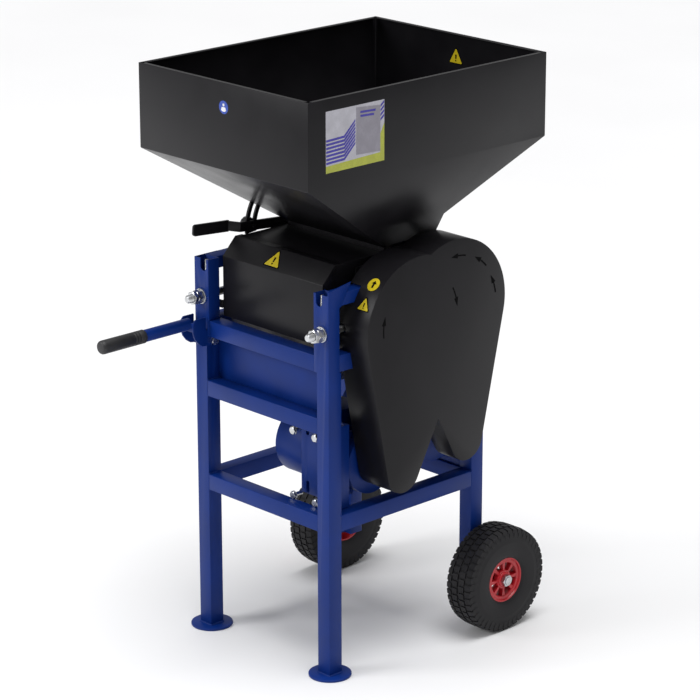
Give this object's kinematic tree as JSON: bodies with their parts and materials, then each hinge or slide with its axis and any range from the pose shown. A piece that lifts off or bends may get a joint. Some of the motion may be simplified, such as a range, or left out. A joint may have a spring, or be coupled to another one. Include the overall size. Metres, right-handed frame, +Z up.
{
  "type": "grape crusher",
  "caption": "Two-roll fruit crusher on a wheeled tube stand, with a square hopper, a throat gate with a lever, a belt guard on one side and a fixed lifting handle.",
  "frame": {"origin": "on the floor, under the middle of the stand's four legs", "axes": "+X along the rolls towards the belt guard, -Y to the front with the handle and the adjusters, +Z up"},
  "size_m": [0.664, 0.973, 1.438],
  "materials": {
    "blue_paint": "semi-gloss powder coat",
    "black_paint": "satin powder coat",
    "zinc_steel": "zinc plated",
    "ground_steel": "ground",
    "stainless_steel": "brushed",
    "grey_iron": "machined casting",
    "tyre_rubber": "moulded",
    "red_plastic": "moulded",
    "black_plastic": "moulded",
    "belt_rubber": "moulded"
  },
  "bodies": {
    "root": {"adjuster_washers": "zinc_steel", "axle_nuts": "zinc_steel", "bearing_rails": "blue_paint", "bearing_stops": "zinc_steel", "belt_guard": "black_paint", "cross_bars": "blue_paint", "discharge_chute": "stainless_steel", "foot_plates": "blue_paint", "front_belt": "belt_rubber", "front_left_leg": "blue_paint", "front_motor": "blue_paint", "front_motor_cowl": "blue_paint", "front_motor_plate": "blue_paint", "front_panel": "blue_paint", "front_right_leg": "blue_paint", "gate_quadrant": "black_paint", "guard_back_plate": "black_paint", "handle_bolt": "zinc_steel", "handle_grip": "black_plastic", "hopper": "black_paint", "hopper_neck": "black_paint", "housing_side_plates": "black_paint", "housing_top_and_back": "black_paint", "lift_handle": "blue_paint", "motor_bolts": "zinc_steel", "mounting_brackets": "black_paint", "panel_bolts": "zinc_steel", "rear_bearings": "grey_iron", "rear_belt": "belt_rubber", "rear_left_leg": "blue_paint", "rear_motor": "blue_paint", "rear_motor_cowl": "blue_paint", "rear_motor_plate": "blue_paint", "rear_right_leg": "blue_paint", "roll_cover": "black_paint", "scraper_blades": "stainless_steel", "side_bars": "blue_paint", "stub_axles": "blue_paint", "top_rails": "blue_paint", "upper_front_bar": "blue_paint"},
    "front_carriage": {"front_bearings": "grey_iron", "adjusting_studs": "zinc_steel"},
    "front_roll_body": {"front_roll": "ground_steel", "front_roll_pulley": "grey_iron"},
    "rear_roll_body": {"rear_roll": "ground_steel", "rear_roll_pulley": "grey_iron"},
    "front_motor_rotor": {"front_motor_shaft": "ground_steel", "front_motor_pulley": "grey_iron"},
    "rear_motor_rotor": {"rear_motor_shaft": "ground_steel", "rear_motor_pulley": "grey_iron"},
    "gate": {"gate_flap": "stainless_steel", "gate_lever": "black_paint", "gate_nuts": "zinc_steel"},
    "gate_clamp": {"gate_knob": "black_plastic"},
    "left_wheel": {"left_wheel_tyre": "tyre_rubber", "left_wheel_rim": "red_plastic"},
    "right_wheel": {"right_wheel_tyre": "tyre_rubber", "right_wheel_rim": "red_plastic"},
    "left_adjuster": {"adjusting_nut_left": "zinc_steel"},
    "right_adjuster": {"adjusting_nut_right": "zinc_steel"}
  },
  "joints": [
    {"name": "roll_gap_slide", "type": "slide", "parent": "root", "child": "front_carriage", "axis": [0, -1, 0], "range_m": [0, 0.003]},
    {"name": "front_roll_spin", "type": "hinge", "parent": "front_carriage", "child": "front_roll_body", "pos_m": [0, -0.027, 0.86], "axis": [1, 0, 0], "continuous": true},
    {"name": "rear_roll_spin", "type": "hinge", "parent": "root", "child": "rear_roll_body", "pos_m": [0, 0.091, 0.86], "axis": [1, 0, 0], "continuous": true},
    {"name": "front_motor_spin", "type": "hinge", "parent": "root", "child": "front_motor_rotor", "pos_m": [0, -0.078, 0.498], "axis": [1, 0, 0], "continuous": true},
    {"name": "rear_motor_spin", "type": "hinge", "parent": "root", "child": "rear_motor_rotor", "pos_m": [0, 0.136, 0.527], "axis": [1, 0, 0], "continuous": true},
    {"name": "gate_swing", "type": "hinge", "parent": "root", "child": "gate", "pos_m": [0, 0.002, 1.004], "axis": [-1, 0, 0], "range_deg": [0, 14]},
    {"name": "clamp_knob_turn", "type": "hinge", "parent": "gate", "child": "gate_clamp", "pos_m": [-0.198, -0.11464, 1.01318], "axis": [-1, 0, 0], "range_deg": [0, 180]},
    {"name": "left_wheel_spin", "type": "hinge", "parent": "root", "child": "left_wheel", "pos_m": [-0.285, 0.257, 0.134], "axis": [1, 0, 0], "continuous": true},
    {"name": "right_wheel_spin", "type": "hinge", "parent": "root", "child": "right_wheel", "pos_m": [0.285, 0.257, 0.134], "axis": [1, 0, 0], "continuous": true},
    {"name": "left_nut_turn", "type": "hinge", "parent": "root", "child": "left_adjuster", "pos_m": [-0.212, -0.273, 0.86], "axis": [0, 1, 0], "range_deg": [0, 432.1]},
    {"name": "right_nut_turn", "type": "hinge", "parent": "root", "child": "right_adjuster", "pos_m": [0.212, -0.273, 0.86], "axis": [0, 1, 0], "range_deg": [0, 432.1]}
  ],
  "couplings": [
    {"joint": "front_motor_spin", "follows": "front_roll_spin", "ratio": 2.9683},
    {"joint": "rear_motor_spin", "follows": "rear_roll_spin", "ratio": 2.9683},
    {"joint": "left_nut_turn", "follows": "roll_gap_slide", "rad_per_m": 2513.3},
    {"joint": "right_nut_turn", "follows": "roll_gap_slide", "rad_per_m": 2513.3}
  ]
}
